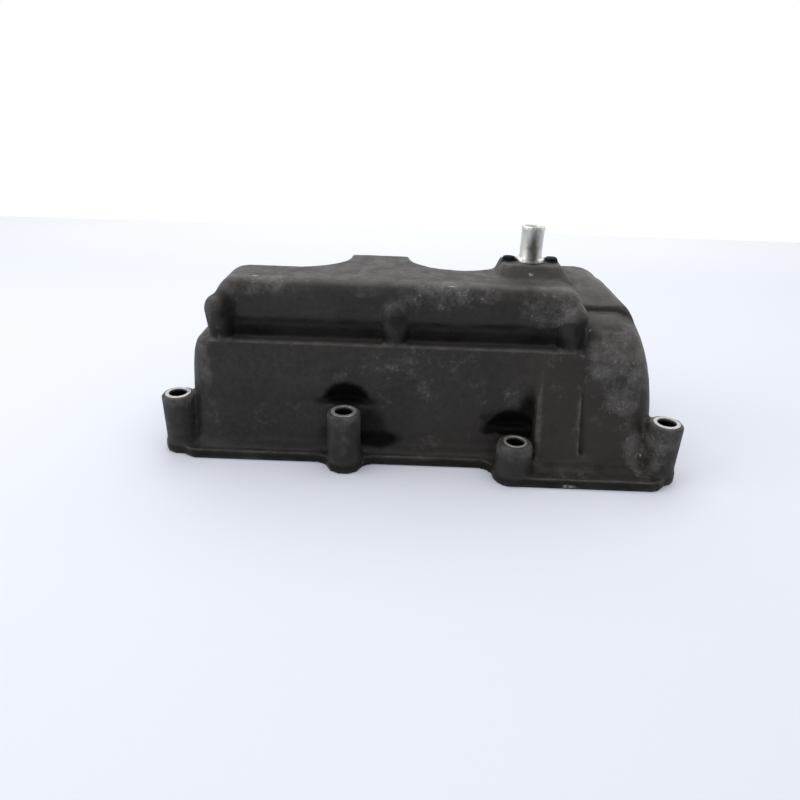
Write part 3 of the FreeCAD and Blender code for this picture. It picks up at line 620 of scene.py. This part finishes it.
class COVER_OT_casting(bpy.types.Operator):
    """Softens the casting as sand moulding does, and marks its edges, with a painted highlight on the ledge,
    its hollows, its dirty patches with painted shade and shadow, and its scuffs
    """
    bl_idname = "cover.casting"
    bl_label = "Cast cover"

    def execute(self, context):
        look = context.scene.cover_look
        piece = bpy.data.objects.new("cast_cover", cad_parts["cover_casting"].data.copy())
        context.collection.objects.link(piece)
        take(piece)
        bpy.ops.object.mode_set(mode="EDIT")
        bpy.ops.mesh.select_all(action="SELECT")
        bpy.ops.mesh.remove_doubles(threshold=MERGE * MM)
        bpy.ops.object.mode_set(mode="OBJECT")
        modify(piece, "REMESH", mode="VOXEL", voxel_size=look.skin_voxel, use_smooth_shade=True)
        spots = points_of(piece.data)
        group = group_by(piece, "soft", soft_share(spots))
        modify(piece, "SMOOTH", factor=0.5, iterations=SOFT_ROUNDS, vertex_group=group)
        feet = near(spots, tuple(((x, y, FLANGE_T + 1.0), FOOT_REACH, 1.0) for x, y, _, _ in BOLT_FACES))
        group = group_by(piece, "blends", np.maximum(bands(spots, BLENDED), feet))
        modify(piece, "SMOOTH", factor=0.5, iterations=BLEND_ROUNDS, vertex_group=group)
        lumps = bpy.data.textures.new("cast_lumps", "CLOUDS")
        lumps.noise_scale = LUMP_SIZE
        lumps.noise_depth = 2
        modify(piece, "DISPLACE", texture=lumps, texture_coords="LOCAL", strength=look.skin_lumps,
               mid_level=0.5, vertex_group="soft")
        total = sum(len(p.vertices) - 2 for p in piece.data.polygons)
        if total > look.skin_faces:
            modify(piece, "DECIMATE", ratio=look.skin_faces / total)
        piece.vertex_groups.clear()
        self.mark(piece.data)
        finish_with(piece, cast_skin(look))
        fit(piece, "cast_cover", "cast_metal", "cover_casting")
        return {"FINISHED"}

    def mark(self, mesh):
        """Stores worn edges with a painted highlight on the ledge, dirty patches with painted shade and
        shadow, scuffs, dust and chips on the points.
        """
        spots, ways = points_of(mesh), normals_of(mesh)
        ends = np.empty(len(mesh.edges) * 2, np.int32)
        mesh.edges.foreach_get("vertices", ends)
        ends = ends.reshape(-1, 2)
        rise = ((spots - relaxed(spots, ends, EDGE_ROUNDS)) * ways).sum(1) / MM
        broad = ((spots - relaxed(spots, ends, HOLLOW_ROUNDS)) * ways).sum(1) / MM
        # The ledge's band is painted light as a highlight, through the worn-edge mark
        ledge_highlight = bands(spots, (LEDGE_HIGHLIGHT,))
        shown = 1.0 - bands(spots, (LEDGE_EDGE, RECESS_EDGE, FLANGE))
        store(mesh, "edges", np.maximum(rise / EDGE_FULL * shown, HIGHLIGHT_SHARE * ledge_highlight))
        # Hollows darken as dirt and painted shade, except in the recess band
        hollow = np.clip(-broad / HOLLOW_FULL, 0.0, 1.0) * (1.0 - bands(spots, (RECESS,)))
        dirt_and_shade = near(spots, DIRT_AND_SHADE)
        # The socket clearances over the towers get painted shade, clear of the towers themselves
        for middle, radius in SCOOPS:
            past = np.linalg.norm(spots / MM - np.array(middle), axis=1) - radius
            above = np.clip((spots[:, 2] / MM - middle[2] - SCOOP_LOW) / SCOOP_LOW, 0.0, 1.0)
            aside = np.hypot(spots[:, 0] / MM - middle[0], spots[:, 1] / MM - middle[1])
            beside = aside > TOWER_R + SCOOP_CLEAR
            full, least = SCOOP_SIDES
            central = np.clip(full - np.abs(spots[:, 0] / MM - middle[0]) / radius, least, 1.0)
            scoop_shade = SCOOP_SHADE * np.clip(1.0 - past / SCOOP_SPREAD, 0.0, 1.0)
            dirt_and_shade = np.maximum(dirt_and_shade, scoop_shade * above * beside * central)
        # The smooth panel stays clear; the recess, the flange's forward rim and the walls' feet get painted
        # shade
        on_panel = (spots[:, 0] / MM > PANEL_FROM_X) & (spots[:, 2] / MM < PANEL_TO_Z)
        dirt_and_shade = np.maximum(np.where(on_panel, 0.0, dirt_and_shade), bands(spots, DIRT_AND_SHADE_BANDS) * ledge_clear(spots))
        # The bolt bores' walls are painted dark as shade
        for x, y, top, _ in BOLT_FACES:
            away = np.hypot(spots[:, 0] / MM - x, spots[:, 1] / MM - y)
            in_bore = (away < BORE_R + BORE_WALL) & (spots[:, 2] / MM < top - BORE_MOUTH)
            dirt_and_shade = np.maximum(dirt_and_shade, in_bore.astype(float))
        store(mesh, "dirt_and_shade", np.maximum(hollow * HOLLOW_SHADE, dirt_and_shade))
        store(mesh, "scuffs", near(spots, SCUFFED))
        dust = np.clip((spots[:, 2] / MM - DUST_FROM_Z) / DUST_RISE, 0.0, 1.0)
        dust *= np.where(spots[:, 0] / MM < DUST_BOX_TO_X, DUST_BOX, 1.0)
        on_ledge = bands(spots, (LEDGE_TOP,))
        store(mesh, "dust", np.maximum(dust, DUST_LEDGE * on_ledge))
        store(mesh, "chips", near(spots, tuple((at, (size,) * 3, 1.0) for at, size in CHIPPED)))


class COVER_OT_bolt_faces(bpy.types.Operator):
    """Turns the bare ring on every bolt face, with the mouth of its bore"""
    bl_idname = "cover.bolt_faces"
    bl_label = "Bolt faces"

    def execute(self, context):
        look = context.scene.cover_look
        # Lighter and darker copies of one turned metal: painted reflection of the backdrop and of the dark
        # wall
        finishes = {True: bare_face("bolt_face_backdrop_reflection", True), False: bare_face("bolt_face_wall_reflection", False)}
        tall, low = self.ring(look.face_ring / MM), self.ring(look.low_ring / MM)
        for number, (x, y, top, sees_backdrop) in enumerate(BOLT_FACES, 1):
            first = low if top < LOW_TOP else tall
            piece = first.copy()
            piece.data = first.data.copy()
            context.collection.objects.link(piece)
            piece.location = Vector((x, y, top)) * MM
            finish_with(piece, finishes[sees_backdrop])
            fit(piece, f"bolt_face_{number}", "cast_metal")
        bpy.data.objects.remove(tall)
        bpy.data.objects.remove(low)
        return {"FINISHED"}

    def ring(self, outer):
        """One thin ring about the origin, out to this radius in millimetres."""
        inner = BORE_R + RING_FREE
        wide, deep = RING_MOUTH
        return turned(((inner, -RING_DEEP), (inner, -deep), (inner + wide, RING_PROUD),
                       (outer - RING_BEVEL, RING_PROUD), (outer, -RING_PROUD), (outer, -RING_DEEP)),
                      (0.0, 0.0), RING_SIDES)


class COVER_OT_nipple(bpy.types.Operator):
    """Turns the pressed-in hose nipple with its collar and rolled mouth"""
    bl_idname = "cover.nipple"
    bl_label = "Hose nipple"

    def execute(self, context):
        piece = turned(NIPPLE_PROFILE, NIPPLE_AT, NIPPLE_SIDES)
        finish_with(piece, plated_tube())
        fit(piece, "hose_nipple", "tube_steel", "breather_nipple")
        return {"FINISHED"}


class COVER_OT_inner_parts(bpy.types.Operator):
    """Finishes the baffle plate, its screws and the gasket"""
    bl_idname = "cover.inner_parts"
    bl_label = "Inner parts"

    def execute(self, context):
        for node, material in (("baffle_plate", oiled_sheet()), ("baffle_screws", screw_steel()),
                               ("cover_gasket", moulded_rubber())):
            finish_with(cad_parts[node], material)
        return {"FINISHED"}


class COVER_OT_stage(bpy.types.Operator):
    """Sets the pale table, the soft light, the white background and the camera"""
    bl_idname = "cover.stage"
    bl_label = "Stage"

    def execute(self, context):
        stage = context.scene.cover_stage
        put_down()
        bpy.ops.mesh.primitive_plane_add(size=1.0, location=(0.0, 0.0, -TABLE_DROP))
        table = context.object
        table.name = "table"
        table.scale = TABLE_SIZE
        bpy.ops.object.transform_apply(location=True, rotation=True, scale=True)
        finish_with(table, table_top(stage.floor_colour))
        self.lamp("overhead", *OVERHEAD, stage.top_light)
        self.lamp("left_side", *LEFT_SIDE, stage.side_light)
        self.background(context.scene, stage.fill)
        self.camera(context.scene)
        context.scene.view_settings.view_transform = "Standard"
        return {"FINISHED"}

    def lamp(self, name, place, aim, size, power):
        put_down()
        bpy.ops.object.light_add(type="AREA", location=place)
        lamp = bpy.context.object
        lamp.name = name
        lamp.data.size = size
        lamp.data.energy = power
        lamp.rotation_euler = (Vector(aim) - Vector(place)).to_track_quat("-Z", "Y").to_euler()

    def background(self, scene, fill):
        world = bpy.data.worlds.new("white_room")
        scene.world = world
        world.use_nodes = True
        tree = world.node_tree
        tree.nodes.clear()
        path = tree.nodes.new("ShaderNodeLightPath")
        seen = path.outputs["Is Camera Ray"]
        for other in ("Is Glossy Ray", "Is Transmission Ray"):
            either = tree.nodes.new("ShaderNodeMath")
            either.operation = "MAXIMUM"
            tree.links.new(seen, either.inputs[0])
            tree.links.new(path.outputs[other], either.inputs[1])
            seen = either.outputs["Value"]
        level = tree.nodes.new("ShaderNodeMapRange")
        level.inputs["To Min"].default_value = fill
        level.inputs["To Max"].default_value = 1.0
        tree.links.new(seen, level.inputs["Value"])
        glow = tree.nodes.new("ShaderNodeBackground")
        glow.inputs["Color"].default_value = (1.0, 1.0, 1.0, 1.0)
        tree.links.new(level.outputs["Result"], glow.inputs["Strength"])
        out = tree.nodes.new("ShaderNodeOutputWorld")
        tree.links.new(glow.outputs["Background"], out.inputs["Surface"])

    def camera(self, scene):
        put_down()
        bpy.ops.object.camera_add(location=Vector(CAMERA_AT) * MM)
        camera = bpy.context.object
        camera.name = "camera"
        yaw, pitch, roll = (math.radians(a) for a in CAMERA_TURN)
        turn = (Matrix.Rotation(yaw, 3, "Z") @ Matrix.Rotation(math.pi / 2 - pitch, 3, "X")
                @ Matrix.Rotation(roll, 3, "Z"))
        camera.rotation_euler = turn.to_euler()
        camera.data.sensor_fit = "HORIZONTAL"
        camera.data.lens = FOCAL_PX / PICTURE_PX * camera.data.sensor_width
        camera.data.clip_start = 0.01
        scene.camera = camera


class COVER_PT_panel(bpy.types.Panel):
    """Lists the steps that build the cover's finish"""
    bl_idname = "COVER_PT_panel"
    bl_label = "Valve cover"
    bl_space_type = "VIEW_3D"
    bl_region_type = "UI"
    bl_category = "Cover"

    def draw(self, context):
        for settings in (context.scene.cover_look, context.scene.cover_stage):
            box = self.layout.box()
            for name in settings.__annotations__:
                box.prop(settings, name)
        for step in STEPS:
            self.layout.operator(step.bl_idname)


STEPS = (COVER_OT_stage, COVER_OT_casting, COVER_OT_bolt_faces, COVER_OT_nipple, COVER_OT_inner_parts)
CLASSES = (CoverLook, CoverStage) + STEPS + (COVER_PT_panel,)


def register():
    for kind in CLASSES:
        bpy.utils.register_class(kind)
    bpy.types.Scene.cover_look = bpy.props.PointerProperty(type=CoverLook)
    bpy.types.Scene.cover_stage = bpy.props.PointerProperty(type=CoverStage)


def unregister():
    del bpy.types.Scene.cover_stage
    del bpy.types.Scene.cover_look
    for kind in reversed(CLASSES):
        bpy.utils.unregister_class(kind)


def main():
    register()
    bpy.ops.cover.stage()
    bpy.ops.cover.casting()
    bpy.ops.cover.bolt_faces()
    bpy.ops.cover.nipple()
    bpy.ops.cover.inner_parts()


if __name__ == "__main__":
    main()
